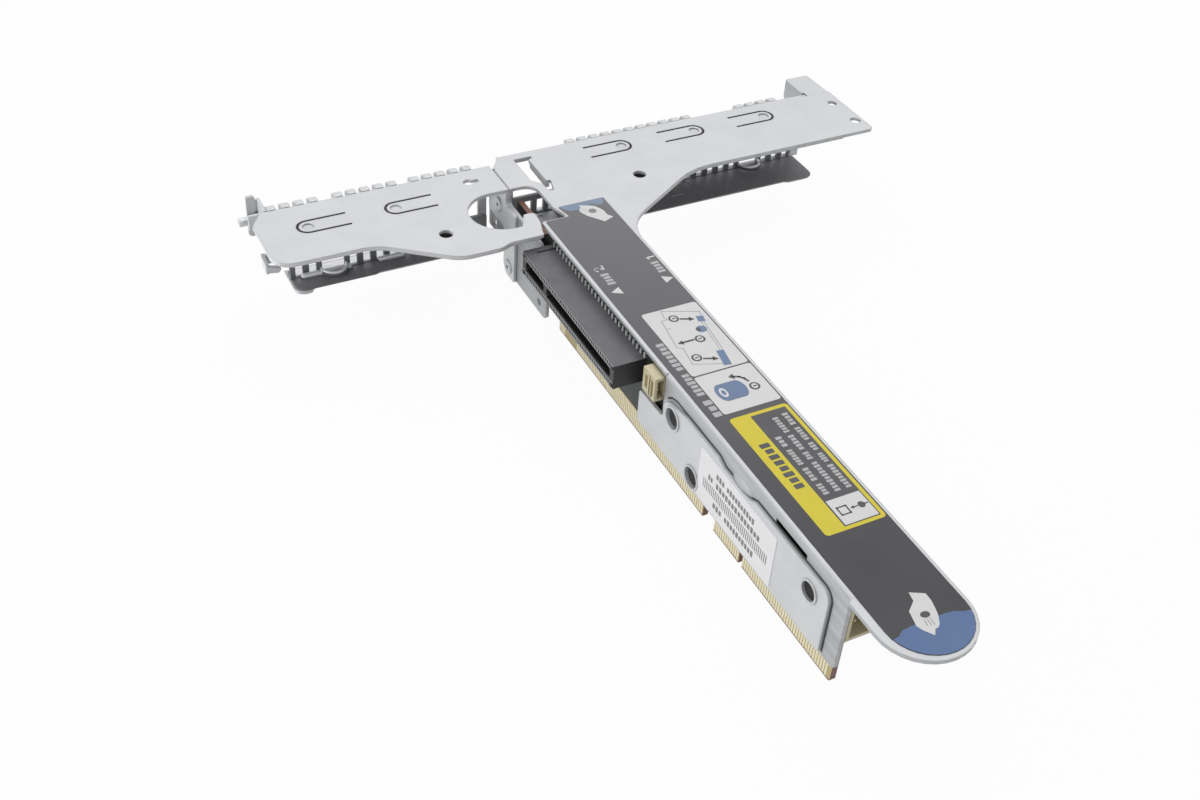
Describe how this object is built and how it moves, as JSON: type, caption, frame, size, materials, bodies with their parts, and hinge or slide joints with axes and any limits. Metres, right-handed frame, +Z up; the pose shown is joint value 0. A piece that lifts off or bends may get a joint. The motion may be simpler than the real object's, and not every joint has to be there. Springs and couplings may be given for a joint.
{
  "type": "server riser cage bracket",
  "caption": "Folded sheet-metal riser cage in a T shape, with an upright riser board, card sockets and two vented card bays.",
  "frame": {"origin": "middle of the riser board's lower edge, where it enters its socket", "axes": "+Z up, +X towards the full-height bay, +Y towards the rear of the server; the arm runs to -Y"},
  "size_m": [0.1975, 0.2255, 0.0306],
  "materials": {
    "zinc_sheet": "zinc-plated sheet steel, satin",
    "cover_steel": "zinc-plated sheet steel, satin",
    "spring_steel": "spring steel, satin",
    "rivet_steel": "plated steel",
    "film": "polyester insulating film",
    "board_laminate": "glass-epoxy laminate with green solder mask",
    "contact_gold": "gold plating",
    "socket_plastic": "moulded nylon",
    "header_plastic": "moulded nylon, natural",
    "solder": "tin-plated",
    "label_film": "polyester label",
    "label_paper": "paper label",
    "chip_plastic": "epoxy package"
  },
  "bodies": {
    "root": {"main_bracket": "zinc_sheet", "low_profile_bracket": "zinc_sheet", "side_plate": "zinc_sheet", "slot_1_cover": "cover_steel", "slot_2_cover": "cover_steel", "slot_1_film": "film", "slot_2_film": "film", "slot_1_gasket": "spring_steel", "slot_2_gasket": "spring_steel", "riser_board": "board_laminate", "left_edge_contacts": "contact_gold", "right_edge_contacts": "contact_gold", "slot_1_socket": "socket_plastic", "slot_2_socket": "socket_plastic", "slot_1_socket_contacts": "contact_gold", "slot_2_socket_contacts": "contact_gold", "socket_solder_tails": "solder", "side_header": "header_plastic", "front_header": "header_plastic", "header_pins": "contact_gold", "wall_rivets": "rivet_steel", "guide_pin": "rivet_steel", "top_label": "label_film", "side_label": "label_paper", "board_chips": "chip_plastic"}
  },
  "joints": []
}
